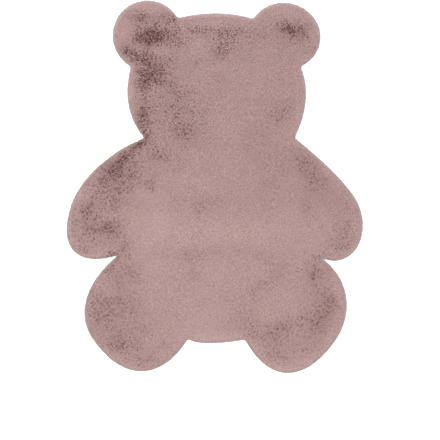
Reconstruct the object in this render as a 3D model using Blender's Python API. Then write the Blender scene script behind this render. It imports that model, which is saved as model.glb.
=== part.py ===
"""A bear shaped kids rug: one piece of short plush, lying flat with its pile up.

The head with its ears is at +Y and the feet are at -Y. The underside lies on
the floor at z = 0, and the origin is under the middle of the rug's box.
"""

from math import atan2, ceil, cos, exp, hypot, pi, radians, sin, sqrt
from typing import NamedTuple

import bmesh
import bpy
from mathutils import Vector, noise

# Driving dimensions, in metres. The width, about 0.795, follows from the outline.
LENGTH = 1.000
PILE_TOP = 0.019
TOP_ROUNDING = 0.009
UNDER_ROUNDING = 0.006
NOTCH_SOFTNESS = 0.008

# The pile is a little uneven: wide soft swells with smaller ones on them.
SWELL_SIZE = 0.085
SWELL_HEIGHT = 0.0026
TUSSOCK_SIZE = 0.037
TUSSOCK_HEIGHT = 0.0020

# How fine the mesh is: along the outline, across the top, and its shortest edge.
OUTLINE_STEP = 0.014
TOP_CELL = 0.024
SHORTEST_EDGE = 0.0015

PILE_COLOUR = (0.434, 0.283, 0.275, 1.0)
PILE_ROUGHNESS = 0.95

MM = 0.001


class Lobe(NamedTuple):
    """A stretch of the outline in millimetres, clockwise from its corner to the next one.

    It is part of an ellipse with these two radii. turn is the angle in degrees
    from +X to radius_1, and past_half is true if it is more than half of it.
    """

    name: str
    corner_x: float
    corner_y: float
    radius_1: float
    radius_2: float
    turn: float
    past_half: bool


LOBES = [
    Lobe("crown", -99, 452, 306, 382, 124, False),
    Lobe("ear_right", 104, 450, 89, 96, 78, True),
    Lobe("cheek_right", 230, 323, 245, 186, 48, False),
    Lobe("arm_right", 214, 132, 84, 428, 56, False),
    Lobe("hand_right", 388, -53, 87, 113, 17, False),
    Lobe("leg_right", 283, -188, 184, 231, 103, False),
    Lobe("foot_right", 310, -430, 208, 481, 174, False),
    Lobe("seat", 82, -409, 85, 382, 110, False),
    Lobe("foot_left", -72, -407, 206, 407, 3, False),
    Lobe("leg_left", -328, -406, 306, 193, 14, False),
    Lobe("hand_left", -258, -183, 151, 383, 135, False),
    Lobe("arm_left", -388, -61, 187, 302, 110, False),
    Lobe("cheek_left", -189, 132, 313, 531, 113, False),
    Lobe("ear_left", -224, 323, 94, 93, 90, True),
]


class Trough(NamedTuple):
    """A soft straight dip in the pile, in millimetres from the rug's middle."""

    name: str
    start_x: float
    start_y: float
    end_x: float
    end_y: float
    half_width: float
    depth: float


TROUGHS = [
    Trough("waist_fold", -170, -158, 240, -160, 11, 1.6),
    Trough("chest_fold", -150, -25, 190, -20, 12, 0.8),
    Trough("long_fold_left", -98, 20, -98, -215, 9, 0.8),
    Trough("long_fold_right", -38, 10, -40, -120, 9, 0.7),
    Trough("ear_left_brushed", -196, 408, -152, 404, 15, 2.6),
    Trough("temple_left", -230, 372, -218, 350, 10, 1.8),
    Trough("cheek_left_brushed", -196, 332, -178, 268, 14, 1.8),
    Trough("jaw_left", -194, 232, -192, 155, 8, 1.4),
    Trough("shoulder_left", -206, 92, -272, 30, 15, 1.8),
    Trough("flank_left", -250, -10, -236, -150, 12, 1.2),
    Trough("hand_left_brushed", -312, -80, -286, -124, 12, 1.5),
    Trough("thigh_left", -268, -318, -240, -440, 12, 1.2),
    Trough("ear_right_brushed", 196, 424, 236, 408, 12, 2.4),
    Trough("brow_right", 12, 372, 24, 352, 10, 1.4),
    Trough("arm_right_brushed", 262, 58, 300, 12, 13, 1.4),
    Trough("hand_right_brushed", 350, -96, 344, -130, 12, 1.4),
    Trough("thigh_right", 268, -234, 300, -300, 12, 1.8),
    Trough("foot_right", 300, -322, 268, -400, 12, 1.5),
    Trough("knee_right", 150, -372, 124, -436, 12, 1.2),
]


def clear_scene():
    for obj in list(bpy.data.objects):
        bpy.data.objects.remove(obj, do_unlink=True)


def lobe_points(lobe, end, step):
    """Points about a step apart along the lobe, from its corner to end."""
    turn = radians(lobe.turn)

    def to_circle(x, y):
        along = x * cos(turn) + y * sin(turn)
        across = y * cos(turn) - x * sin(turn)
        return Vector((along / lobe.radius_1, across / lobe.radius_2))

    def from_circle(angle):
        along = (centre.x + cos(angle)) * lobe.radius_1
        across = (centre.y + sin(angle)) * lobe.radius_2
        return Vector(
            (
                along * cos(turn) - across * sin(turn),
                along * sin(turn) + across * cos(turn),
            )
        )

    first = to_circle(lobe.corner_x, lobe.corner_y)
    last = to_circle(*end)
    half = (last - first) / 2
    aside = Vector((half.y, -half.x)).normalized() * sqrt(1 - half.length_squared)
    centre = (first + last) / 2 + (-aside if lobe.past_half else aside)
    begin = atan2(first.y - centre.y, first.x - centre.x)
    finish = atan2(last.y - centre.y, last.x - centre.x)
    sweep = (begin - finish) % (2 * pi)
    steps = ceil(sweep * (lobe.radius_1 + lobe.radius_2) / 2 / step)
    return [from_circle(begin - sweep * i / steps) for i in range(steps + 1)]


def cut_back(points, reach):
    """The same line, shortened at both ends by reach."""
    for _ in range(2):
        left = reach
        while (points[1] - points[0]).length < left:
            left -= (points[1] - points[0]).length
            points = points[1:]
        start = points[0] + (points[1] - points[0]).normalized() * left
        points = [start, *points[1:]][::-1]
    return points


def notch_points(before, corner, after, steps=4):
    """A soft bend from before to after that turns towards the corner."""
    found = []
    for i in range(1, steps):
        t = i / steps
        found.append(before * (1 - t) ** 2 + corner * 2 * t * (1 - t) + after * t**2)
    return found


def rug_outline():
    """The outline's points in metres, counterclockwise, about the middle of its box."""
    lobes = []
    for lobe, following in zip(LOBES, LOBES[1:] + LOBES[:1], strict=True):
        end = (following.corner_x, following.corner_y)
        points = lobe_points(lobe, end, OUTLINE_STEP / MM)
        lobes.append(cut_back(points, NOTCH_SOFTNESS / MM))
    outline = []
    for lobe, points, before in zip(LOBES, lobes, lobes[-1:] + lobes[:-1], strict=True):
        corner = Vector((lobe.corner_x, lobe.corner_y))
        outline += notch_points(before[-1], corner, points[0]) + points
    low = Vector([min(p[i] for p in outline) for i in range(2)])
    high = Vector([max(p[i] for p in outline) for i in range(2)])
    middle = (low + high) / 2
    scale = LENGTH / (high.y - low.y)
    return [(p - middle) * scale for p in reversed(outline)]


def trough_depth(trough, x, y):
    """How far this trough lowers the pile at a point, all in millimetres."""
    run_x, run_y = trough.end_x - trough.start_x, trough.end_y - trough.start_y
    off_x, off_y = x - trough.start_x, y - trough.start_y
    along = (off_x * run_x + off_y * run_y) / (run_x**2 + run_y**2)
    along = min(max(along, 0), 1)
    away = hypot(off_x - along * run_x, off_y - along * run_y)
    return trough.depth * exp(-((away / trough.half_width) ** 2))


def relief(x, y):
    """How far the top of the pile stands above its usual height at a point, in metres."""
    swells = noise.noise(Vector((x, y, 0)) / SWELL_SIZE) * SWELL_HEIGHT
    tussocks = noise.noise(Vector((x, y, 1)) / TUSSOCK_SIZE) * TUSSOCK_HEIGHT
    troughs = sum(trough_depth(trough, x / MM, y / MM) for trough in TROUGHS)
    return swells + tussocks - troughs * MM


def rug_slab(outline):
    """The outline as a slab, rounded where the pile turns over at the rim."""
    bm = bmesh.new()
    sole = bm.faces.new([bm.verts.new((*point, 0)) for point in outline])
    raised = bmesh.ops.extrude_face_region(bm, geom=[sole], use_keep_orig=True)["geom"]
    top_verts = [item for item in raised if isinstance(item, bmesh.types.BMVert)]
    bmesh.ops.translate(bm, verts=top_verts, vec=(0, 0, PILE_TOP))
    bmesh.ops.recalc_face_normals(bm, faces=bm.faces)
    for height, rounding, steps in ((PILE_TOP, TOP_ROUNDING, 3), (0, UNDER_ROUNDING, 2)):
        rim = [e for e in bm.edges if all(abs(v.co.z - height) < 1e-6 for v in e.verts)]
        bmesh.ops.bevel(
            bm, geom=rim, offset=rounding, segments=steps, profile=0.5, affect="EDGES"
        )
    return bm


def looks_up(face):
    return face.normal.z > 0.999


def cut_top_into_cells(bm):
    """Cuts the flat top along a square net, so that it has points to raise and lower."""
    cells = int(LENGTH / 2 / TOP_CELL)
    for axis in (Vector((1, 0, 0)), Vector((0, 1, 0))):
        for i in range(-cells, cells + 1):
            faces = [f for f in bm.faces if looks_up(f)]
            edges = [e for e in bm.edges if any(looks_up(f) for f in e.link_faces)]
            verts = [v for v in bm.verts if any(looks_up(f) for f in v.link_faces)]
            bmesh.ops.bisect_plane(
                bm,
                geom=faces + edges + verts,
                dist=1e-5,
                plane_co=axis * i * TOP_CELL,
                plane_no=axis,
            )
    top_verts = [v for v in bm.verts if any(looks_up(f) for f in v.link_faces)]
    bmesh.ops.remove_doubles(bm, verts=top_verts, dist=SHORTEST_EDGE)


def raise_pile(bm):
    """Moves each point by the relief, from nothing at the sole to all of it at the top."""
    for vert in bm.verts:
        share = max(vert.co.z / PILE_TOP, 0) ** 2
        vert.co.z += relief(vert.co.x, vert.co.y) * share


def plush_material():
    material = bpy.data.materials.new("dusty_rose_plush")
    material.use_nodes = True
    shader = material.node_tree.nodes["Principled BSDF"]
    shader.inputs["Base Color"].default_value = PILE_COLOUR
    shader.inputs["Roughness"].default_value = PILE_ROUGHNESS
    shader.inputs["Metallic"].default_value = 0.0
    return material


def make_rug(collection):
    bm = rug_slab(rug_outline())
    cut_top_into_cells(bm)
    raise_pile(bm)
    bmesh.ops.triangulate(bm, faces=bm.faces)
    mesh = bpy.data.meshes.new("bear_rug")
    bm.to_mesh(mesh)
    bm.free()
    mesh.materials.append(plush_material())
    mesh.shade_smooth()
    collection.objects.link(bpy.data.objects.new("bear_rug", mesh))


def main():
    clear_scene()
    collection = bpy.data.collections.new("bear_shaped_kids_rug")
    bpy.context.scene.collection.children.link(collection)
    make_rug(collection)


main()
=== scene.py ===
"""The bear shaped kids rug: short dusty rose plush, lying flat, seen from straight above."""

import math
from typing import NamedTuple

import bmesh
import bpy
import numpy as np
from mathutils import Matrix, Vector, noise


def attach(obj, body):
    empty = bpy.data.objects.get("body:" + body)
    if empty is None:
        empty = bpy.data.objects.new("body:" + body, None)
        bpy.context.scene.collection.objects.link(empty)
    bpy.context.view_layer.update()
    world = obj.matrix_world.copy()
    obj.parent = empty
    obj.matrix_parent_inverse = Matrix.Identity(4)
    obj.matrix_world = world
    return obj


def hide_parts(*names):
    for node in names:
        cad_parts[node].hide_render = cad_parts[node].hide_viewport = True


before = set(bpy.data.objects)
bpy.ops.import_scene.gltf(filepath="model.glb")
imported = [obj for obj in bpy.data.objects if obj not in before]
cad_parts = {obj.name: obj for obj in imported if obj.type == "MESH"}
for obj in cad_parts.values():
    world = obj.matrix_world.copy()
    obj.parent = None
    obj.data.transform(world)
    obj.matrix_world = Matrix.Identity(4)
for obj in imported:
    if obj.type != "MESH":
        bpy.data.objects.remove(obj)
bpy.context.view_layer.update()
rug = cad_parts["bear_rug"]

# The ground cloth. A knitted polyester cloth that carries the pile, cut with it
# to the bear's outline and lying flat on the floor. Its plain knitted back is
# what shows from below, and its cut edge is hidden under the pile at the rim.

CLOTH_THICKNESS = 0.0018
KNIT_PITCH = 0.0022
COLUMN_WAVES = 0.314
COLUMN_WAVER = 0.6
ROW_WAVES = 0.25
ROW_WAVER = 0.8
KNIT_DEPTH = 0.0004
CLOTH_FUZZ = 0.4
CLOTH_FIBRE = 0.0007
CLOTH_SMOOTHEST = 0.82
CLOTH_ROUGHEST = 0.98
# The cloth's thread colour, and a darker colour painted as shade in the gaps between its loops.
CLOTH_THREAD = (0.46, 0.31, 0.30, 1.0)
CLOTH_GAP_SHADE = (0.30, 0.185, 0.18, 1.0)

FACES_DOWN = -0.999
WELD = 1e-6


def merged_rug():
    """The rug's solid with its loose triangles joined up."""
    solid = bmesh.new()
    solid.from_mesh(rug.data)
    bmesh.ops.remove_doubles(solid, verts=solid.verts, dist=WELD)
    solid.normal_update()
    return solid


def finished_piece(name, shape, material):
    """A new object for this shape, which shows the given material."""
    mesh = bpy.data.meshes.new(name)
    shape.to_mesh(mesh)
    shape.free()
    mesh.materials.append(material)
    piece = bpy.data.objects.new(name, mesh)
    bpy.context.scene.collection.objects.link(piece)
    return piece


def make_node(tree, kind, inputs=None, **settings):
    """A new node with its settings, and its inputs set or linked to other sockets."""
    made = tree.nodes.new(kind)
    for name, value in settings.items():
        setattr(made, name, value)
    for key, value in (inputs or {}).items():
        if isinstance(value, bpy.types.NodeSocket):
            tree.links.new(value, made.inputs[key])
        else:
            made.inputs[key].default_value = value
    return made


def maths(tree, operation, first, second=0.0, third=0.0):
    inputs = {0: first, 1: second, 2: third}
    return make_node(tree, "ShaderNodeMath", inputs, operation=operation).outputs[0]


def colour_mix(tree, factor, first, second, **settings):
    inputs = {0: factor, 6: first, 7: second}
    made = make_node(tree, "ShaderNodeMix", inputs, data_type="RGBA", **settings)
    return made.outputs[2]


def make_fibre_grain():
    """The fine uneven grain of polyester fibre, a node group that every material here uses."""
    group = bpy.data.node_groups.new("fibre_grain", "ShaderNodeTree")
    for name in ("Fibre Size", "Smoothest", "Roughest"):
        group.interface.new_socket(name, in_out="INPUT", socket_type="NodeSocketFloat")
    for name in ("Grain", "Roughness"):
        group.interface.new_socket(name, in_out="OUTPUT", socket_type="NodeSocketFloat")
    given = make_node(group, "NodeGroupInput").outputs
    place = make_node(group, "ShaderNodeTexCoord").outputs["Object"]
    fineness = maths(group, "DIVIDE", 1.0, given["Fibre Size"])
    grain = make_node(
        group, "ShaderNodeTexNoise", {"Vector": place, "Scale": fineness, "Detail": 1.0}
    ).outputs["Fac"]
    rough = make_node(
        group,
        "ShaderNodeMapRange",
        {"Value": grain, "To Min": given["Smoothest"], "To Max": given["Roughest"]},
    ).outputs[0]
    make_node(group, "NodeGroupOutput", {"Grain": grain, "Roughness": rough})
    return group


FIBRE_GRAIN = make_fibre_grain()


def fibre_grain(tree, size, smoothest, roughest):
    """The grain at one fibre size in a material, with its roughness already linked."""
    made = make_node(tree, "ShaderNodeGroup", node_tree=FIBRE_GRAIN)
    made.inputs["Fibre Size"].default_value = size
    made.inputs["Smoothest"].default_value = smoothest
    made.inputs["Roughest"].default_value = roughest
    shader = tree.nodes["Principled BSDF"]
    tree.links.new(made.outputs["Roughness"], shader.inputs["Roughness"])
    return made.outputs["Grain"]


def bumped(tree, height, distance, strength=1.0):
    """Bumps the surface of a material by this height."""
    inputs = {"Height": height, "Distance": distance, "Strength": strength}
    bump = make_node(tree, "ShaderNodeBump", inputs)
    tree.links.new(bump.outputs[0], tree.nodes["Principled BSDF"].inputs["Normal"])


def knit_waves(tree, place, waves, waver, direction):
    """Soft ridges in one direction. A wave number of 0.314 gives one ridge in each pitch."""
    return make_node(
        tree,
        "ShaderNodeTexWave",
        {"Vector": place, "Scale": waves / KNIT_PITCH, "Distortion": waver, "Detail": 1.0},
        bands_direction=direction,
    ).outputs["Fac"]


def knitted_cloth():
    """Columns of small knitted loops, paler on the thread and painted darker between the loops,
    as shade in the gaps.
    """
    material = bpy.data.materials.new("knitted_ground_cloth")
    material.use_nodes = True
    tree = material.node_tree
    shader = tree.nodes["Principled BSDF"]
    place = make_node(tree, "ShaderNodeTexCoord").outputs["Object"]
    grain = fibre_grain(tree, CLOTH_FIBRE, CLOTH_SMOOTHEST, CLOTH_ROUGHEST)
    columns = knit_waves(tree, place, COLUMN_WAVES, COLUMN_WAVER, "X")
    rows = knit_waves(tree, place, ROW_WAVES, ROW_WAVER, "Y")
    loops = maths(tree, "MULTIPLY", columns, rows)
    fuzzy = maths(tree, "MULTIPLY_ADD", grain, CLOTH_FUZZ, loops)
    base = colour_mix(tree, fuzzy, CLOTH_GAP_SHADE, CLOTH_THREAD)
    tree.links.new(base, shader.inputs["Base Color"])
    bumped(tree, fuzzy, KNIT_DEPTH)
    return material


def make_ground_cloth():
    """The solid's flat sole, thickened upwards."""
    sole = merged_rug()
    others = [face for face in sole.faces if face.normal.z > FACES_DOWN]
    bmesh.ops.delete(sole, geom=others, context="FACES")
    raised = bmesh.ops.extrude_face_region(sole, geom=sole.faces[:])["geom"]
    upper = [item for item in raised if isinstance(item, bmesh.types.BMVert)]
    bmesh.ops.translate(sole, verts=upper, vec=(0, 0, CLOTH_THICKNESS))
    bmesh.ops.recalc_face_normals(sole, faces=sole.faces)
    return finished_piece("ground_cloth", sole, knitted_cloth())


ground_cloth = make_ground_cloth()
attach(ground_cloth, "root")
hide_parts("bear_rug")

# The underfur. The dense lower part of the pile, which fills the space between
# the ground cloth and the tufts. It shows only as the darker depth between them,
# painted darker as the shade deep in the pile and darker still where the pile is
# opened, and lies deeper where the pile has been brushed apart.

UNDERFUR_DEPTH = 0.0078
UNDERFUR_OPENED_DEPTH = 0.0030
UNDERFUR_RIM_RISE = 0.5
UNDERFUR_CUTS = 1
UNDERFUR_LUMP = 0.009
UNDERFUR_LUMP_HEIGHT = 0.0010
UNDERFUR_LUMP_SHADE = 0.4
UNDERFUR_LUMP_GRAIN = 0.3
UNDERFUR_BUMP = 0.002
UNDERFUR_FIBRE = 0.0009
UNDERFUR_SMOOTHEST = 0.85
UNDERFUR_ROUGHEST = 1.0
# The underfur's colours are painted shade: darker than the tips as the depth of the pile, and
# darker still where it is opened.
UNDERFUR_SHADE_COLOUR = (0.47, 0.31, 0.30, 1.0)
UNDERFUR_OPENED_SHADE_COLOUR = (0.17, 0.092, 0.085, 1.0)
PILE_FOOT = CLOTH_THICKNESS * 0.6

# The brushed places, in millimetres: how far past one its painted shade and its ruffled
# pile are felt, how long one is that only paints shade on the pile, and how its edge
# wanders and fades.
HALO = 14.0
RUFFLE = 24.0
BROAD = 100.0
EDGE_WANDER = 9.0
EDGE_WANDER_SIZE = 0.022
EDGE_FADE = 1.5
MM_PER_METRE = 1000


class Brushed(NamedTuple):
    """An oval place in the pile, in millimetres from the rug's middle.

    opened is how far its tufts are brushed apart, or below 0 where they lie
    smoother than elsewhere; the pile there is painted darker as shade, or lighter
    below 0 as painted light. turn is in degrees from +X to its length. One that
    is longer than BROAD only paints shade or light on the pile, and leaves its
    tufts as they are.
    """

    x: float
    y: float
    half_length: float
    half_width: float
    turn: float
    opened: float


BRUSHED = [
    # The left ear and temple.
    Brushed(-168, 402, 44, 19, 6, 1.3),
    Brushed(-188, 402, 22, 12, 0, 0.75),
    Brushed(-102, 390, 14, 9, 0, 0.5),
    Brushed(-174, 434, 16, 7, 0, -0.25),
    Brushed(-142, 456, 24, 12, 0, 0.34),
    Brushed(-203, 455, 28, 12, 0, 0.66),
    Brushed(-231, 360, 28, 11, -48, 1.05),
    Brushed(-188, 346, 28, 16, 0, 0.54),
    Brushed(-242, 411, 20, 32, 0, -0.7),
    Brushed(-204, 370, 16, 10, -30, -0.6),
    Brushed(-136, 386, 14, 9, 0, -0.16),
    Brushed(-157, 366, 22, 11, 0, -0.5),
    Brushed(-237, 339, 12, 8, 0, -0.38),
    Brushed(-197, 320, 15, 9, 0, -0.7),
    Brushed(-107, 456, 12, 11, 0, 0.48),
    Brushed(-252, 452, 14, 14, 0, -0.22),
    Brushed(-168, 492, 28, 11, 0, -1.4),
    # The left cheek and jaw.
    Brushed(-130, 275, 24, 16, 0, 0.32),
    Brushed(-226, 256, 8, 50, 0, -0.24),
    Brushed(-224, 304, 8, 22, 0, -0.4),
    Brushed(-123, 338, 18, 14, 0, 0.2),
    Brushed(-189, 298, 44, 23, 95, 1.0),
    Brushed(-155, 307, 28, 15, 90, 0.54),
    Brushed(-172, 258, 20, 18, 0, -0.3),
    Brushed(-190, 191, 30, 12, 90, 0.84),
    Brushed(-177, 147, 10, 9, 0, -0.3),
    Brushed(-114, 217, 50, 44, 0, 0.14),
    Brushed(-107, 209, 8, 7, 0, 0.4),
    Brushed(-88, 249, 22, 13, 0, 0.2),
    Brushed(-83, 149, 24, 20, 90, 0.55),
    Brushed(-116, 156, 20, 16, 0, 0.1),
    Brushed(-44, 188, 26, 34, 0, 0.14),
    # The brow and crown.
    Brushed(14, 370, 22, 16, 90, 0.56),
    Brushed(32, 419, 36, 12, 0, 0.4),
    Brushed(-36, 420, 40, 11, 0, 0.42),
    Brushed(-4, 455, 92, 9, 0, -0.2),
    Brushed(98, 412, 52, 14, 0, 0.27),
    Brushed(6, 290, 10, 10, 0, 0.2),
    Brushed(-5, 307, 90, 22, 0, -0.13),
    Brushed(52, 380, 24, 18, 0, 0.2),
    Brushed(-42, 336, 12, 12, 0, 0.2),
    Brushed(140, 330, 24, 24, 0, -0.08),
    Brushed(0, 410, 120, 40, 0, -0.5),
    Brushed(-56, 368, 32, 20, 0, -0.1),
    Brushed(20, 158, 36, 20, 0, -0.12),
    Brushed(0, 490, 300, 50, 0, -0.38),
    # The right ear and cheek.
    Brushed(199, 424, 33, 16, -12, 1.05),
    Brushed(180, 468, 60, 12, -8, -0.06),
    Brushed(201, 457, 14, 9, 0, -0.28),
    Brushed(244, 408, 14, 10, -40, 0.45),
    Brushed(158, 424, 10, 8, 0, -0.25),
    Brushed(268, 362, 8, 8, 0, 0.3),
    Brushed(176, 198, 38, 26, 30, 0.28),
    Brushed(111, 137, 40, 24, 0, 0.15),
    Brushed(228, 304, 12, 20, 0, 0.08),
    Brushed(262, 394, 12, 26, 0, -0.28),
    Brushed(226, 180, 10, 26, 0, -0.2),
    Brushed(219, 120, 10, 8, 0, -0.3),
    # The left shoulder, arm and hand.
    Brushed(-197, 125, 28, 12, 50, 1.1),
    Brushed(-199, 98, 10, 8, 0, -0.8),
    Brushed(-258, 96, 12, 9, 45, -0.35),
    Brushed(-306, 6, 22, 18, 45, 0.14),
    Brushed(-267, -40, 24, 18, 0, 0.32),
    Brushed(-338, -178, 30, 10, -10, 0.36),
    Brushed(-310, -184, 24, 6, 0, -0.45),
    Brushed(-333, -141, 16, 12, 0, 0.1),
    Brushed(-229, 88, 42, 10, 48, 0.55),
    Brushed(-260, 54, 40, 20, 48, 0.76),
    Brushed(-256, 4, 50, 26, 0, 0.34),
    Brushed(-366, -22, 30, 10, 60, -0.12),
    Brushed(-340, 16, 18, 10, 50, 0.12),
    Brushed(-384, -110, 12, 50, 0, 0.24),
    Brushed(-300, 56, 14, 10, 45, 0.25),
    Brushed(-216, 32, 18, 16, 0, 0.3),
    Brushed(-339, -60, 26, 16, 60, 0.55),
    Brushed(-280, -110, 22, 19, 0, 0.64),
    Brushed(-331, -113, 18, 18, 0, 0.46),
    Brushed(-243, -149, 24, 8, 90, 0.35),
    Brushed(-270, -184, 18, 5, 0, 0.7),
    # The chest.
    Brushed(-18, 126, 30, 24, 0, 0.11),
    Brushed(108, 75, 30, 20, 0, 0.15),
    Brushed(-153, 85, 47, 19, 0, 0.4),
    Brushed(-168, 6, 18, 9, 90, 0.4),
    Brushed(-93, 50, 7, 7, 0, 0.3),
    Brushed(-88, 24, 34, 18, 30, -0.09),
    Brushed(-104, -36, 19, 12, 0, 0.18),
    Brushed(-15, -44, 35, 17, 0, 0.12),
    Brushed(-40, -71, 32, 6, 90, 0.2),
    Brushed(110, -30, 110, 30, 0, 0.3),
    Brushed(-166, -27, 34, 12, 0, -0.15),
    Brushed(151, 10, 26, 24, 0, 0.15),
    # The right shoulder, arm and hand.
    Brushed(248, -60, 34, 18, 90, 0.22),
    Brushed(312, 30, 20, 12, -45, -0.28),
    Brushed(348, -54, 20, 16, 0, 0.08),
    Brushed(321, -168, 24, 12, 0, 0.12),
    Brushed(285, 8, 112, 34, -52, 0.42),
    Brushed(243, 62, 44, 22, -60, 0.36),
    Brushed(165, 66, 30, 30, 0, 0.15),
    Brushed(258, 13, 34, 18, -45, 0.14),
    Brushed(299, 24, 4, 4, 0, 0.5),
    Brushed(312, -30, 34, 22, -50, 0.08),
    Brushed(344, -128, 36, 30, 90, 0.26),
    Brushed(345, -163, 14, 10, 0, 0.2),
    Brushed(387, -84, 10, 24, 0, 0.12),
    Brushed(284, -189, 16, 5, 0, 0.22),
    # The belly, with the soft line where the rug was folded for packing, painted as a band of
    # shade.
    Brushed(16, -168, 148, 14, 0, 0.33),
    Brushed(-56, -184, 36, 14, 0, 0.14),
    Brushed(-56, -221, 27, 8, -65, 0.2),
    Brushed(-84, -254, 24, 12, 0, 0.14),
    Brushed(134, -266, 56, 18, 25, 0.24),
    Brushed(-34, -128, 150, 28, 0, -0.36),
    Brushed(-172, -98, 34, 60, 0, -0.14),
    Brushed(200, -116, 26, 40, 0, -0.05),
    Brushed(-60, -352, 70, 36, 0, -0.1),
    Brushed(20, -222, 60, 20, 0, -0.04),
    Brushed(-150, -212, 44, 16, -25, -0.07),
    # The legs and the lower belly as a whole, where the nap catches more light.
    Brushed(0, -440, 420, 140, 0, 0.24),
    Brushed(0, -408, 60, 8, 0, -0.15),
    # The left leg.
    Brushed(-275, -350, 120, 60, 90, 0.4),
    Brushed(-249, -297, 18, 12, 0, 0.12),
    Brushed(-184, -473, 44, 18, 0, 0.28),
    Brushed(-110, -352, 36, 26, 0, 0.1),
    Brushed(-128, -430, 20, 20, 0, 0.16),
    Brushed(-268, -372, 24, 18, 0, 0.08),
    Brushed(-263, -262, 18, 16, 0, 0.2),
    Brushed(-218, -232, 28, 18, -50, 0.28),
    Brushed(-284, -211, 20, 26, 0, 0.35),
    Brushed(-284, -280, 16, 14, 0, -0.25),
    Brushed(-325, -292, 18, 38, 0, 0.3),
    Brushed(-288, -322, 42, 34, 0, 0.25),
    Brushed(-320, -376, 26, 18, 60, 0.15),
    Brushed(-304, -424, 20, 14, -45, 0.1),
    Brushed(-218, -326, 27, 19, 0, 0.2),
    Brushed(-258, -418, 30, 20, -20, 0.3),
    Brushed(-220, -426, 24, 16, 0, 0.2),
    Brushed(-200, -380, 24, 16, 0, 0.2),
    # The right leg.
    Brushed(170, -446, 36, 30, 0, 0.25),
    Brushed(246, -420, 30, 30, 0, 0.18),
    Brushed(60, -296, 50, 20, 0, 0.08),
    Brushed(78, -348, 26, 24, 0, 0.16),
    Brushed(285, -310, 101, 40, 90, 0.4),
    Brushed(186, -228, 28, 20, 0, 0.15),
    Brushed(274, -285, 20, 18, 0, 0.15),
    Brushed(130, -198, 60, 14, 0, 0.12),
    Brushed(267, -231, 22, 12, 90, 0.5),
    Brushed(306, -215, 10, 10, 0, 0.15),
    Brushed(311, -317, 30, 19, 90, 0.37),
    Brushed(276, -366, 34, 18, 66, 0.38),
    Brushed(156, -389, 28, 14, 30, 0.37),
    Brushed(214, -364, 48, 14, 20, 0.29),
    Brushed(94, -391, 24, 18, -40, 0.26),
]


def reached(along, across, patch, beyond):
    """How strongly a patch is felt at a place, fading out this many millimetres past it."""
    away = (along / (patch.half_length + beyond)) ** 2
    away += (across / (patch.half_width + beyond)) ** 2
    return patch.opened * np.exp(-away)


def brush(places):
    """How far the pile is opened, shaded, ruffled and combed at places given in metres."""
    opened = np.zeros(len(places))
    shaded = np.zeros(len(places))
    ruffled = np.zeros(len(places))
    combed = np.zeros((len(places), 3))
    flat = places[:, :2] * MM_PER_METRE
    for axis in range(2):
        level = Vector((0, 0, axis))
        wander = [noise.noise(Vector(p) / EDGE_WANDER_SIZE + level) for p in places]
        flat[:, axis] += np.array(wander) * EDGE_WANDER
    for patch in BRUSHED:
        off = flat - (patch.x, patch.y)
        turn = math.radians(patch.turn)
        along = off[:, 0] * math.cos(turn) + off[:, 1] * math.sin(turn)
        across = off[:, 1] * math.cos(turn) - off[:, 0] * math.sin(turn)
        shaded += reached(along, across, patch, HALO)
        if patch.half_length > BROAD:
            continue
        ruffled += reached(along, across, patch, RUFFLE)
        away = (along / patch.half_length) ** 2 + (across / patch.half_width) ** 2
        share = patch.opened * np.exp(-(away**EDGE_FADE))
        opened += share
        longer = 1 - patch.half_width / patch.half_length
        combed[:, 0] += np.maximum(share, 0) * longer * math.cos(turn)
        combed[:, 1] += np.maximum(share, 0) * longer * math.sin(turn)
    return opened, shaded, ruffled, combed


def underfur_plush():
    """Matted fibre in small lumps, painted darker as the shade deep in the pile, and darker
    still where the pile is opened.
    """
    material = bpy.data.materials.new("underfur_plush")
    material.use_nodes = True
    tree = material.node_tree
    shader = tree.nodes["Principled BSDF"]
    place = make_node(tree, "ShaderNodeTexCoord").outputs["Object"]
    lumps = make_node(
        tree,
        "ShaderNodeTexNoise",
        {"Vector": place, "Scale": 2.0 / UNDERFUR_LUMP, "Detail": 3.0},
    ).outputs["Fac"]
    opened = make_node(tree, "ShaderNodeAttribute", attribute_name="brushed").outputs["Fac"]
    deep = maths(tree, "MULTIPLY_ADD", lumps, UNDERFUR_LUMP_SHADE, opened)
    base = colour_mix(tree, deep, UNDERFUR_SHADE_COLOUR, UNDERFUR_OPENED_SHADE_COLOUR)
    tree.links.new(base, shader.inputs["Base Color"])
    grain = fibre_grain(tree, UNDERFUR_FIBRE, UNDERFUR_SMOOTHEST, UNDERFUR_ROUGHEST)
    matted = maths(tree, "MULTIPLY_ADD", grain, UNDERFUR_LUMP_GRAIN, lumps)
    bumped(tree, matted, UNDERFUR_BUMP)
    return material


def make_underfur():
    """The rug's solid, shrunk by the depth of the open pile and standing in the cloth."""
    solid = merged_rug()
    bmesh.ops.subdivide_edges(solid, edges=solid.edges, cuts=UNDERFUR_CUTS)
    solid.normal_update()
    opened, _, _, _ = brush(np.array([vert.co for vert in solid.verts]))
    for vert, open_here in zip(solid.verts, opened, strict=True):
        lump = noise.noise(vert.co / UNDERFUR_LUMP) * UNDERFUR_LUMP_HEIGHT
        on_sole = vert.co.z < WELD
        depth = UNDERFUR_DEPTH + UNDERFUR_OPENED_DEPTH * min(max(open_here, 0), 1)
        depth *= 1 - UNDERFUR_RIM_RISE * (1 - abs(vert.normal.z))
        vert.co -= vert.normal * (depth - lump)
        vert.co.z = PILE_FOOT if on_sole else max(vert.co.z, PILE_FOOT)
    for face in solid.faces:
        face.smooth = True
    piece = finished_piece("underfur", solid, underfur_plush())
    made = piece.data.attributes.new("brushed", "FLOAT", "POINT")
    made.data.foreach_set("value", opened)
    return piece


underfur = make_underfur()
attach(underfur, "root")
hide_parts("bear_rug")
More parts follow.
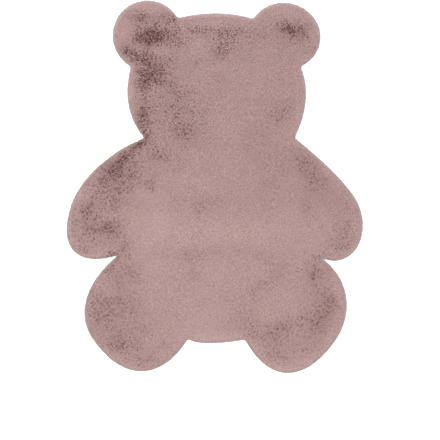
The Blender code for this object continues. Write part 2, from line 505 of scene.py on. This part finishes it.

# The pile. Soft matt strands of polyester fibre, about a millimetre apart, which
# stand in the cloth with their tips on the solid's surface and roll over its rim.
# They lean with the nap, gather in small locks, and leave small gaps, also painted darker as
# shade.

# A tuft: how far it stands from the next, its shape, and how it bends.
TUFT_SPACING = 0.00107
TUFT_CANDIDATES = 1900000.0
TUFT_LENGTH = 0.0140
SHORTEST_SHARE = 0.90
LONGEST_SHARE = 1.06
LEAST_LENGTH = 0.002
TUFT_WIDTH = 0.0021
SLIMMEST_SHARE = 0.8
STOUTEST_SHARE = 1.2
TUFT_WAIST = 0.5
TUFT_BEND = 1.5
MAP_CORNERS = 0.45
MAP_FOLDS = 0.36
UPRIGHT = 0.9
LEAST_RISE = 0.05
SOFTNESS = 0.75
OFF_THE_FLOOR = 0.0004
PILE_SEED = 11

# Where its tip leans: over the small clumps, with the nap, to its lock, and astray.
CLUMP_SIZE = 0.0085
CLUMP_PULL = 0.0035
SLOPE_STEP = 0.2
OPENED_PULL = 0.0120
OPENED_LAY = 0.003
NAP_SIZE = 0.045
NAP_LEAN = 0.0026
NAP_SWIRL = 2.2
LOCK_SIZE = 0.0052
LOCK_PULL = 0.2
RUFFLED_PULL = 0.40
STRAY = 0.0010
STRAY_REACH = (1.0, 1.0, 0.4)
LEAN_SHARES = (1, 1, 0.2)

# How it is opened: what a place gives, in blotches, and what that does to a tuft.
BLOTCH_SIZE = 0.009
BLOTCH_CONTRAST = 4.0
BLOTCH_START = -1.0
FAINTEST_BLOTCH = 0.1
UNEVEN = 0.4
UNEVEN_START = -0.22
RUFFLED_FADE = 1.7
PARTED_SHARE = 0.8
PARTED_SHADE = 0.45
PARTED_START = -0.1
MOST_PARTED = 1.1
PARTED_DROP = -0.12
PARTED_SLIMMING = -0.25

# The small gaps between tufts, painted darker as shade: how far across and how dark they are.
GAP_SIZE = 0.0060
GAP_CROOK = 0.0050
GAP_HEART = 0.15
CALM_GAP = 0.40
RUFFLED_GAP = 0.11
CALM_GAP_SHADE = 1.4
RUFFLED_GAP_SHADE = 3.0
FLECKED_GAP_SHADE = 3.6
OPENED_SHADE = 0.12

# The skin, and its rim, which is painted lighter as painted light, stands a little proud
# and ends in an edge painted darker and greyer as painted shade.
SKIN_CUTS = 3
RIM_STEEPNESS = 0.3
RIM_PROUD = 0.0012
RIM_REACH = 0.018
RIM_PAINTED_LIGHT = 0.66
RIM_PAINTED_LIGHT_REACH = 0.030
EDGE_REACH = 0.009
EDGE_SHADE = 0.75

# Its colours: the tip's own colour, a darker one painted as shade, a darker root painted
# as the shade deep in the pile, and a greyer one painted as shade at the edge; and how
# much of the painted shade each of the shades above brings in.
SMOOTH_TIP = (0.780, 0.589, 0.575, 1.0)
PAINTED_SHADE_TIP = (0.186, 0.053, 0.044, 1.0)
PAINTED_ROOT_SHADE = (0.45, 0.33, 0.315, 1.0)
UNSHADED = (1.0, 1.0, 1.0, 1.0)
ROOT_SHADE_ENDS = (0.35, 0.9)
SHADED_EDGE_TIP = (0.47, 0.395, 0.39, 1.0)
CALM_SHARE = 0.15
HALO_SHARE = 0.23
GAP_SHADE_SHARE = 0.23
EDGE_SHARE = 0.5
STRAND_FIBRE = 0.00055
STRAND_SMOOTHEST = 0.82
STRAND_ROUGHEST = 0.94
STRAND_BUMP = 0.0002
STRAND_BUMP_STRENGTH = 0.6
SHEEN = 0.12
SHEEN_ROUGHNESS = 0.5
SHEEN_TINT = (1.0, 0.86, 0.85, 1.0)


def make_skin():
    """The outer surface of the pile, down to the rim, with how it is brushed."""
    skin = merged_rug()
    sole = [face for face in skin.faces if face.normal.z < FACES_DOWN]
    bmesh.ops.delete(skin, geom=sole, context="FACES")
    bmesh.ops.subdivide_edges(skin, edges=skin.edges, cuts=SKIN_CUTS)
    mesh = bpy.data.meshes.new("pile_skin")
    skin.to_mesh(mesh)
    skin.free()
    places = np.empty(len(mesh.vertices) * 3)
    mesh.vertices.foreach_get("co", places)
    places = places.reshape(-1, 3)
    opened, shaded, ruffled, combed = brush(places)
    rim = np.array([v.co for v in mesh.vertices if abs(v.normal.z) < RIM_STEEPNESS])
    away = np.full(len(places), 1.0)
    for point in rim:
        away = np.minimum(away, np.linalg.norm(places[:, :2] - point[:2], axis=1))
    inland = np.minimum(away / RIM_REACH, 1)
    inland = inland * inland * (3 - 2 * inland)
    # The rim is painted lighter, as painted light, and its outermost edge darker, as painted
    # shade.
    shaded -= RIM_PAINTED_LIGHT * np.clip((RIM_PAINTED_LIGHT_REACH - away) / RIM_PAINTED_LIGHT_REACH, 0, 1)
    edge = np.clip(1 - away / EDGE_REACH, 0, 1)
    shaded += EDGE_SHADE * edge
    felt = {
        "inland": inland,
        "edge": edge,
        "brushed": opened,
        "shaded": shaded,
        "ruffled": ruffled,
    }
    for name, values in felt.items():
        mesh.attributes.new(name, "FLOAT", "POINT").data.foreach_set("value", values)
    lay = mesh.attributes.new("combed", "FLOAT_VECTOR", "POINT")
    lay.data.foreach_set("vector", combed.ravel())
    return mesh


def make_tuft():
    """One tuft, a slim three-sided spindle from its root at z = 0 to its tip at z = 1.

    Its map is a hexagon: the three upper sides meet in the middle, and each lower
    side folds out from the edge that it shares with an upper one.
    """
    tuft = bmesh.new()
    turns = [math.tau * i / 3 for i in range(3)]
    root = tuft.verts.new((0, 0, 0))
    waist = [
        tuft.verts.new((math.cos(a) / 2, math.sin(a) / 2, TUFT_WAIST)) for a in turns
    ]
    tip = tuft.verts.new((0, 0, 1))
    places = tuft.loops.layers.uv.new("OFBake")

    def round_middle(angle, reach):
        return (0.5 + reach * math.cos(angle), 0.5 + reach * math.sin(angle))

    corners = [round_middle(a, MAP_CORNERS) for a in turns]
    outer = [round_middle(a + math.pi / 3, MAP_FOLDS) for a in turns]
    for i in range(3):
        j = (i + 1) % 3
        upper = tuft.faces.new((waist[i], waist[j], tip))
        lower = tuft.faces.new((waist[j], waist[i], root))
        for loop, place in zip(upper.loops, (corners[i], corners[j], (0.5, 0.5)), strict=True):
            loop[places].uv = place
        for loop, place in zip(lower.loops, (corners[j], corners[i], outer[i]), strict=True):
            loop[places].uv = place
    mesh = bpy.data.meshes.new("tuft")
    tuft.to_mesh(mesh)
    tuft.free()
    heights = [vert.co.z for vert in mesh.vertices]
    mesh.attributes.new("along", "FLOAT", "POINT").data.foreach_set("value", heights)
    return bpy.data.objects.new("tuft", mesh)


def vector_maths(tree, operation, first, second=(0.0, 0.0, 0.0)):
    made = make_node(
        tree, "ShaderNodeVectorMath", {0: first, 1: second}, operation=operation
    )
    return made.outputs[0]


def scaled(tree, vector, factor):
    made = make_node(
        tree, "ShaderNodeVectorMath", {0: vector, "Scale": factor}, operation="SCALE"
    )
    return made.outputs[0]


def limited(tree, value, least, most):
    return maths(tree, "MINIMUM", maths(tree, "MAXIMUM", value, least), most)


def split(tree, vector):
    return make_node(tree, "ShaderNodeSeparateXYZ", {0: vector}).outputs


def joined(tree, x, y, z):
    return make_node(tree, "ShaderNodeCombineXYZ", {0: x, 1: y, 2: z}).outputs[0]


def random_value(tree, low, high, seed):
    made = make_node(
        tree, "FunctionNodeRandomValue", {2: low, 3: high, "Seed": seed}, data_type="FLOAT"
    )
    return made.outputs[1]


def cloudy(tree, place, size, detail=1.0):
    """A soft noise with clouds of this size: its value, and its colour for three values."""
    fineness = maths(tree, "DIVIDE", 1.0, size)
    inputs = {"Vector": place, "Scale": fineness, "Detail": detail}
    return make_node(tree, "ShaderNodeTexNoise", inputs).outputs


def cloudy_vector(tree, place, size, reach):
    """A soft noise of this size that points up to half of reach in each direction."""
    colour = cloudy(tree, place, size)["Color"]
    return scaled(tree, vector_maths(tree, "SUBTRACT", colour, (0.5, 0.5, 0.5)), reach)


def cells(tree, place, size):
    """Uneven cells of this size round scattered middles."""
    fineness = maths(tree, "DIVIDE", 1.0, size)
    return make_node(tree, "ShaderNodeTexVoronoi", {"Vector": place, "Scale": fineness}).outputs


def uphill(tree, place, size):
    """How a soft noise with lumps of this size rises to the right and to the head."""
    step = maths(tree, "MULTIPLY", size, SLOPE_STEP)
    slopes = []
    for aside in (joined(tree, step, 0.0, 0.0), joined(tree, 0.0, step, 0.0)):
        ahead = cloudy(tree, vector_maths(tree, "ADD", place, aside), size)["Fac"]
        behind = cloudy(tree, vector_maths(tree, "SUBTRACT", place, aside), size)["Fac"]
        slopes.append(maths(tree, "SUBTRACT", ahead, behind))
    return joined(tree, *slopes, 0.0)


def named(tree, name, kind="FLOAT"):
    made = make_node(
        tree, "GeometryNodeInputNamedAttribute", {"Name": name}, data_type=kind
    )
    return made.outputs["Attribute"]


def stored(tree, geometry, name, value, kind, domain):
    made = make_node(
        tree,
        "GeometryNodeStoreNamedAttribute",
        {"Geometry": geometry, "Name": name, "Value": value},
        data_type=kind,
        domain=domain,
    )
    return made.outputs["Geometry"]


PILE_INPUTS = (
    ("Skin", "NodeSocketGeometry", None),
    ("From Y", "NodeSocketFloat", 0.0),
    ("To Y", "NodeSocketFloat", 0.0),
    ("Spacing", "NodeSocketFloat", TUFT_SPACING),
    ("Candidates", "NodeSocketFloat", TUFT_CANDIDATES),
    ("Length", "NodeSocketFloat", TUFT_LENGTH),
    ("Width", "NodeSocketFloat", TUFT_WIDTH),
    ("Clump Size", "NodeSocketFloat", CLUMP_SIZE),
    ("Clump Pull", "NodeSocketFloat", CLUMP_PULL),
    ("Opened Pull", "NodeSocketFloat", OPENED_PULL),
    ("Nap Size", "NodeSocketFloat", NAP_SIZE),
    ("Nap Lean", "NodeSocketFloat", NAP_LEAN),
    ("Lock Size", "NodeSocketFloat", LOCK_SIZE),
    ("Lock Pull", "NodeSocketFloat", LOCK_PULL),
    ("Ruffled Pull", "NodeSocketFloat", RUFFLED_PULL),
    ("Gap Size", "NodeSocketFloat", GAP_SIZE),
    ("Stray", "NodeSocketFloat", STRAY),
    ("Blotch Size", "NodeSocketFloat", BLOTCH_SIZE),
    ("Foot", "NodeSocketFloat", PILE_FOOT),
    ("Seed", "NodeSocketInt", PILE_SEED),
    ("Tuft", "NodeSocketObject", None),
    ("Material", "NodeSocketMaterial", None),
)


def tuft_places(tree, given, place):
    """Points on one band of the skin with the spacing between them, and which way it faces."""
    spread = make_node(
        tree,
        "GeometryNodeDistributePointsOnFaces",
        {
            "Mesh": given["Skin"],
            "Distance Min": given["Spacing"],
            "Density Max": given["Candidates"],
            "Seed": given["Seed"],
        },
        distribute_method="POISSON",
    ).outputs
    y = split(tree, place)["Y"]
    above = maths(tree, "GREATER_THAN", y, given["From Y"])
    below = maths(tree, "LESS_THAN", y, given["To Y"])
    band = make_node(
        tree,
        "GeometryNodeSeparateGeometry",
        {0: spread["Points"], 1: maths(tree, "MULTIPLY", above, below)},
        domain="POINT",
    ).outputs["Selection"]
    return band, spread["Normal"]


def tuft_stance(tree, given, place, normal):
    """A tuft's aim, up on the flat and outwards at the rim, and its length down to its foot."""
    upright = vector_maths(tree, "ADD", normal, (0, 0, UPRIGHT))
    aim = vector_maths(tree, "NORMALIZE", upright)
    height = maths(tree, "SUBTRACT", split(tree, place)["Z"], given["Foot"])
    rise = maths(tree, "MAXIMUM", split(tree, aim)["Z"], LEAST_RISE)
    most = maths(tree, "DIVIDE", height, rise)
    share = random_value(tree, SHORTEST_SHARE, LONGEST_SHARE, 1)
    wanted = maths(tree, "MULTIPLY", given["Length"], share)
    length = maths(tree, "MAXIMUM", maths(tree, "MINIMUM", wanted, most), LEAST_LENGTH)
    return aim, length


def tuft_brushing(tree, given, place):
    """How patchy, opened, parted and ruffled the pile is at a tuft."""
    blotch = cloudy(tree, place, given["Blotch Size"], 2.0)["Fac"]
    patchy = maths(tree, "MULTIPLY_ADD", blotch, BLOTCH_CONTRAST, BLOTCH_START)
    patchy = maths(tree, "MAXIMUM", patchy, FAINTEST_BLOTCH)
    uneven = maths(tree, "MULTIPLY_ADD", blotch, UNEVEN, UNEVEN_START)
    opened = maths(tree, "ADD", maths(tree, "MULTIPLY", named(tree, "brushed"), patchy), uneven)
    around = maths(tree, "MULTIPLY_ADD", named(tree, "shaded"), PARTED_SHADE, PARTED_START)
    parted = maths(tree, "MULTIPLY_ADD", opened, PARTED_SHARE, around)
    parted = limited(tree, parted, 0.0, MOST_PARTED)
    ruffled = limited(tree, named(tree, "ruffled"), 0.0, 1.0)
    ruffled = maths(tree, "POWER", ruffled, RUFFLED_FADE)
    return patchy, opened, parted, ruffled


def tuft_lean(tree, given, place, parted, ruffled):
    """How far a tuft's tip leans over, and to which side.

    It leans up the slope of a soft noise, so that tips gather on its ridges and part
    over its hollows, then with the nap, to the middle of its lock, and a bit astray.
    Across a combed place the slope counts for less, so its hollows are long.
    """
    pull = maths(tree, "MULTIPLY_ADD", parted, given["Opened Pull"], given["Clump Pull"])
    to_clump = scaled(tree, uphill(tree, place, given["Clump Size"]), pull)
    comb = named(tree, "combed", "FLOAT_VECTOR")
    kept = make_node(
        tree, "ShaderNodeVectorMath", {0: to_clump, 1: comb}, operation="DOT_PRODUCT"
    ).outputs["Value"]
    to_clump = vector_maths(tree, "SUBTRACT", to_clump, scaled(tree, comb, kept))
    swirl = cloudy_vector(tree, place, given["Nap Size"], NAP_SWIRL)
    way = vector_maths(tree, "ADD", swirl, (0, -1, 0))
    way = vector_maths(tree, "MULTIPLY", way, (1, 1, 0))
    nap = scaled(tree, vector_maths(tree, "NORMALIZE", way), given["Nap Lean"])
    nap = vector_maths(tree, "ADD", nap, scaled(tree, comb, OPENED_LAY))
    laid = scaled(tree, vector_maths(tree, "ADD", to_clump, nap), named(tree, "inland"))
    to_lock = vector_maths(
        tree, "SUBTRACT", cells(tree, place, given["Lock Size"])["Position"], place
    )
    pull = maths(tree, "MULTIPLY_ADD", ruffled, given["Ruffled Pull"], given["Lock Pull"])
    to_lock = scaled(tree, to_lock, pull)
    stray = make_node(
        tree,
        "FunctionNodeRandomValue",
        {0: [-reach for reach in STRAY_REACH], 1: STRAY_REACH, "Seed": 2},
        data_type="FLOAT_VECTOR",
    ).outputs[0]
    astray = vector_maths(tree, "ADD", to_lock, scaled(tree, stray, given["Stray"]))
    lean = vector_maths(tree, "ADD", laid, astray)
    return vector_maths(tree, "MULTIPLY", lean, LEAN_SHARES)


def tuft_gap_shade(tree, given, place, patchy, opened, ruffled):
    """How much painted shade a tuft's tip gets, darkest in the small crooked gaps, wider in
    ruffled pile.
    """
    crooked = cloudy_vector(tree, place, given["Gap Size"], GAP_CROOK)
    middles = cells(tree, vector_maths(tree, "ADD", place, crooked), given["Gap Size"])
    reach = maths(tree, "MULTIPLY_ADD", ruffled, RUFFLED_GAP, CALM_GAP)
    gap = make_node(
        tree,
        "ShaderNodeMapRange",
        {
            "Value": middles["Distance"],
            "From Min": GAP_HEART,
            "From Max": reach,
            "To Min": 1.0,
            "To Max": 0.0,
        },
    ).outputs[0]
    patchy_ruffle = maths(tree, "MULTIPLY", ruffled, patchy)
    told = maths(tree, "MULTIPLY_ADD", patchy_ruffle, RUFFLED_GAP_SHADE, CALM_GAP_SHADE)
    told = maths(tree, "MULTIPLY_ADD", opened, FLECKED_GAP_SHADE, told)
    return maths(tree, "MULTIPLY_ADD", gap, told, maths(tree, "MULTIPLY", opened, OPENED_SHADE))


def standing_tufts(tree, given, place, points):
    """A tuft on each point, with its root where its foot is and its tip bent by its lean."""
    aim = named(tree, "aim", "FLOAT_VECTOR")
    root = vector_maths(tree, "SUBTRACT", place, scaled(tree, aim, named(tree, "length")))
    spin = joined(tree, 0.0, 0.0, random_value(tree, 0.0, math.tau, 4))
    twist = make_node(tree, "FunctionNodeEulerToRotation", {0: spin}).outputs[0]
    turned = make_node(
        tree, "FunctionNodeAlignRotationToVector", {0: twist, 2: aim}, axis="Z"
    ).outputs[0]
    stoutness = random_value(tree, SLIMMEST_SHARE, STOUTEST_SHARE, 5)
    width = maths(tree, "MULTIPLY", given["Width"], stoutness)
    width = maths(tree, "MULTIPLY", width, named(tree, "slim"))
    moved = make_node(
        tree, "GeometryNodeSetPosition", {"Geometry": points, "Position": root}
    ).outputs[0]
    shape = make_node(tree, "GeometryNodeObjectInfo", {0: given["Tuft"]}).outputs["Geometry"]
    tufts = make_node(
        tree,
        "GeometryNodeInstanceOnPoints",
        {
            "Points": moved,
            "Instance": shape,
            "Rotation": turned,
            "Scale": joined(tree, width, width, named(tree, "tall")),
        },
    ).outputs[0]
    mesh = make_node(tree, "GeometryNodeRealizeInstances", {0: tufts}).outputs[0]
    bend = maths(tree, "POWER", named(tree, "along"), TUFT_BEND)
    bent = scaled(tree, named(tree, "lean", "FLOAT_VECTOR"), bend)
    mesh = make_node(
        tree, "GeometryNodeSetPosition", {"Geometry": mesh, "Offset": bent}
    ).outputs[0]
    x, y, z = split(tree, place)
    lifted = joined(tree, x, y, maths(tree, "MAXIMUM", z, OFF_THE_FLOOR))
    return make_node(
        tree, "GeometryNodeSetPosition", {"Geometry": mesh, "Position": lifted}
    ).outputs[0]


def tuft_map(tree, mesh, count):
    """The tufts with a square of the map for each, in rows and columns by its number."""
    side = maths(tree, "CEIL", maths(tree, "SQRT", count))
    number = named(tree, "number")
    column = maths(tree, "MODULO", number, side)
    row = maths(tree, "FLOOR", maths(tree, "DIVIDE", maths(tree, "ADD", number, 0.5), side))
    u, v, _ = split(tree, named(tree, "OFBake", "FLOAT_VECTOR"))
    inside = [
        maths(tree, "DIVIDE", maths(tree, "ADD", square, within), side)
        for square, within in ((column, u), (row, v))
    ]
    return stored(tree, mesh, "OFBake", joined(tree, *inside, 0.0), "FLOAT2", "CORNER")


def soft_shading(tree, mesh):
    """The tufts shaded as the pile's surface, because fibre is far finer than their sides."""
    mesh = make_node(tree, "GeometryNodeSetShadeSmooth", {0: mesh}).outputs[0]
    side = make_node(tree, "GeometryNodeInputNormal").outputs[0]
    soft = make_node(
        tree,
        "ShaderNodeMix",
        {0: SOFTNESS, 4: side, 5: named(tree, "aim", "FLOAT_VECTOR")},
        data_type="VECTOR",
    ).outputs[1]
    return make_node(
        tree,
        "GeometryNodeSetMeshNormal",
        {"Mesh": mesh, "Custom Normal": soft},
        mode="FREE",
        domain="POINT",
    ).outputs[0]


def pile_tree():
    """Geometry nodes that stand tufts on a band of the skin, with their tips on it."""
    tree = bpy.data.node_groups.new("plush_pile", "GeometryNodeTree")
    for name, kind, value in PILE_INPUTS:
        socket = tree.interface.new_socket(name, in_out="INPUT", socket_type=kind)
        if value is not None:
            socket.default_value = value
    tree.interface.new_socket("Pile", in_out="OUTPUT", socket_type="NodeSocketGeometry")
    given = make_node(tree, "NodeGroupInput").outputs
    place = make_node(tree, "GeometryNodeInputPosition").outputs[0]
    points, normal = tuft_places(tree, given, place)
    aim, length = tuft_stance(tree, given, place, normal)
    patchy, opened, parted, ruffled = tuft_brushing(tree, given, place)
    lean = tuft_lean(tree, given, place, parted, ruffled)
    tone = tuft_gap_shade(tree, given, place, patchy, opened, ruffled)
    lower = maths(tree, "MULTIPLY_ADD", parted, PARTED_DROP, 1.0)
    proud = maths(tree, "MULTIPLY_ADD", named(tree, "inland"), -RIM_PROUD, RIM_PROUD)
    tall = maths(tree, "MULTIPLY_ADD", length, lower, proud)
    slim = maths(tree, "MULTIPLY_ADD", parted, PARTED_SLIMMING, 1.0)
    number = make_node(tree, "GeometryNodeInputIndex").outputs[0]

    # What depends on a tuft's place on the skin is kept, before its root is moved.
    kept_values = (
        ("lean", lean, "FLOAT_VECTOR"),
        ("aim", aim, "FLOAT_VECTOR"),
        ("length", length, "FLOAT"),
        ("tall", tall, "FLOAT"),
        ("slim", slim, "FLOAT"),
        ("tone", tone, "FLOAT"),
        ("number", number, "FLOAT"),
    )
    for name, value, kind in kept_values:
        points = stored(tree, points, name, value, kind, "POINT")
    count = make_node(
        tree, "GeometryNodeAttributeDomainSize", {0: points}, component="POINTCLOUD"
    ).outputs["Point Count"]
    mesh = standing_tufts(tree, given, place, points)
    mesh = soft_shading(tree, tuft_map(tree, mesh, count))
    mesh = make_node(
        tree, "GeometryNodeSetMaterial", {"Geometry": mesh, "Material": given["Material"]}
    ).outputs[0]
    make_node(tree, "NodeGroupOutput", {0: mesh})
    return tree


def pile_plush():
    """Soft matt fibre, painted darker at a tuft's root as the shade deep in the pile, and paler
    at its tip.
    """
    material = bpy.data.materials.new("pile_plush")
    material.use_nodes = True
    tree = material.node_tree
    shader = tree.nodes["Principled BSDF"]

    def attribute(name):
        return make_node(tree, "ShaderNodeAttribute", attribute_name=name).outputs["Fac"]

    # The tip is painted darker as shade in the small gaps, round the brushed places and at the
    # rim's edge, and lighter as painted light on the rim.
    darker = maths(tree, "MULTIPLY_ADD", attribute("tone"), GAP_SHADE_SHARE, CALM_SHARE)
    darker = maths(tree, "MULTIPLY_ADD", attribute("shaded"), HALO_SHARE, darker)
    tip = colour_mix(tree, darker, SMOOTH_TIP, PAINTED_SHADE_TIP)
    # The outermost edge of the pile is painted greyer, as painted shade.
    greyer = maths(tree, "MULTIPLY", attribute("edge"), EDGE_SHARE)
    tip = colour_mix(tree, greyer, tip, SHADED_EDGE_TIP)
    # The root is painted darker by a tint, as the shade deep in the pile.
    start, end = ROOT_SHADE_ENDS
    upper = make_node(
        tree,
        "ShaderNodeMapRange",
        {"Value": attribute("along"), "From Min": start, "From Max": end},
        interpolation_type="SMOOTHSTEP",
    ).outputs[0]
    root_shade = colour_mix(tree, upper, PAINTED_ROOT_SHADE, UNSHADED)
    base = colour_mix(tree, 1.0, tip, root_shade, blend_type="MULTIPLY")
    tree.links.new(base, shader.inputs["Base Color"])
    grain = fibre_grain(tree, STRAND_FIBRE, STRAND_SMOOTHEST, STRAND_ROUGHEST)
    bumped(tree, grain, STRAND_BUMP, STRAND_BUMP_STRENGTH)
    shader.inputs["Sheen Weight"].default_value = SHEEN
    shader.inputs["Sheen Roughness"].default_value = SHEEN_ROUGHNESS
    shader.inputs["Sheen Tint"].default_value = SHEEN_TINT
    return material


# The pile is kept in eleven bands from the feet to the ears, each a piece. What only
# its making needs is then taken off it.
BAND_EDGES = (
    -0.52, -0.39, -0.305, -0.225, -0.15, -0.075, 0.0, 0.085, 0.19, 0.29, 0.385, 0.52
)
USED_UP = (
    "lean", "aim", "length", "tall", "slim", "number",
    "brushed", "combed", "inland", "ruffled", "id",
)


def pile_band(name, from_y, to_y, skin, tree, tuft, material):
    """The tufts of one band as a plain mesh."""
    holder = bpy.data.objects.new(name + "_skin", skin)
    bpy.context.scene.collection.objects.link(holder)
    grown = holder.modifiers.new("pile", "NODES")
    grown.node_group = tree
    sockets = {item.name: item.identifier for item in tree.interface.items_tree}
    grown[sockets["From Y"]] = from_y
    grown[sockets["To Y"]] = to_y
    grown[sockets["Tuft"]] = tuft
    grown[sockets["Material"]] = material
    graph = bpy.context.evaluated_depsgraph_get()
    mesh = bpy.data.meshes.new_from_object(holder.evaluated_get(graph))
    bpy.data.objects.remove(holder)
    for used in USED_UP:
        if used in mesh.attributes:
            mesh.attributes.remove(mesh.attributes[used])
    mesh.name = name
    piece = bpy.data.objects.new(name, mesh)
    bpy.context.scene.collection.objects.link(piece)
    return piece


skin = make_skin()
tuft = make_tuft()
tree = pile_tree()
plush = pile_plush()
for number, (from_y, to_y) in enumerate(zip(BAND_EDGES, BAND_EDGES[1:]), start=1):
    band = pile_band(f"pile_band_{number}", from_y, to_y, skin, tree, tuft, plush)
    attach(band, "root")
    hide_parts("bear_rug")
bpy.data.objects.remove(tuft)

# The floor, the light and the camera. A plain pale floor under soft studio
# light, with the camera straight above the rug and its head at the top.

FLOOR_SIZE = 12.0
FLOOR_HEIGHT = -0.0002
FLOOR_COLOUR = (0.92, 0.92, 0.92, 1.0)
FLOOR_ROUGHNESS = 0.9
FLOOR_GLOW = 0.3
WHITE = (1.0, 1.0, 1.0, 1.0)
SKY_STRENGTH = 0.95
SOFTBOX_STRENGTH = 1.95
SOFTBOX_DEGREES = 30
TOWARDS_SOFTBOX = (-0.03, 0.05, 1.0)
CAMERA_HEIGHT = 5.0
CAMERA_OFF_RIGHT = 0.0141
CAMERA_OFF_FEET = 0.0894
CAMERA_REACH = 100.0
SEEN_WIDTH = 1.183
SENSOR_WIDTH = 36.0


def make_floor():
    bpy.ops.mesh.primitive_plane_add(size=FLOOR_SIZE, location=(0, 0, FLOOR_HEIGHT))
    floor = bpy.context.object
    floor.name = "floor"
    material = bpy.data.materials.new("pale_floor")
    material.use_nodes = True
    shader = material.node_tree.nodes["Principled BSDF"]
    shader.inputs["Base Color"].default_value = FLOOR_COLOUR
    shader.inputs["Roughness"].default_value = FLOOR_ROUGHNESS
    shader.inputs["Emission Color"].default_value = WHITE
    shader.inputs["Emission Strength"].default_value = FLOOR_GLOW
    floor.data.materials.append(material)


def make_light():
    world = bpy.data.worlds.new("studio")
    world.use_nodes = True
    sky = world.node_tree.nodes["Background"]
    sky.inputs["Color"].default_value = WHITE
    sky.inputs["Strength"].default_value = SKY_STRENGTH
    bpy.context.scene.world = world
    lamp = bpy.data.lights.new("softbox", "SUN")
    lamp.energy = SOFTBOX_STRENGTH
    lamp.angle = math.radians(SOFTBOX_DEGREES)
    light = bpy.data.objects.new("softbox", lamp)
    light.rotation_euler = Vector(TOWARDS_SOFTBOX).to_track_quat("Z", "Y").to_euler()
    bpy.context.scene.collection.objects.link(light)


def make_camera():
    lens = bpy.data.cameras.new("camera")
    lens.sensor_width = SENSOR_WIDTH
    lens.lens = SENSOR_WIDTH * CAMERA_HEIGHT / SEEN_WIDTH
    lens.clip_end = CAMERA_REACH
    camera = bpy.data.objects.new("camera", lens)
    camera.location = (CAMERA_OFF_RIGHT, -CAMERA_OFF_FEET, CAMERA_HEIGHT)
    bpy.context.scene.collection.objects.link(camera)
    bpy.context.scene.camera = camera


make_floor()
make_light()
make_camera()
bpy.context.scene.view_settings.view_transform = "Standard"
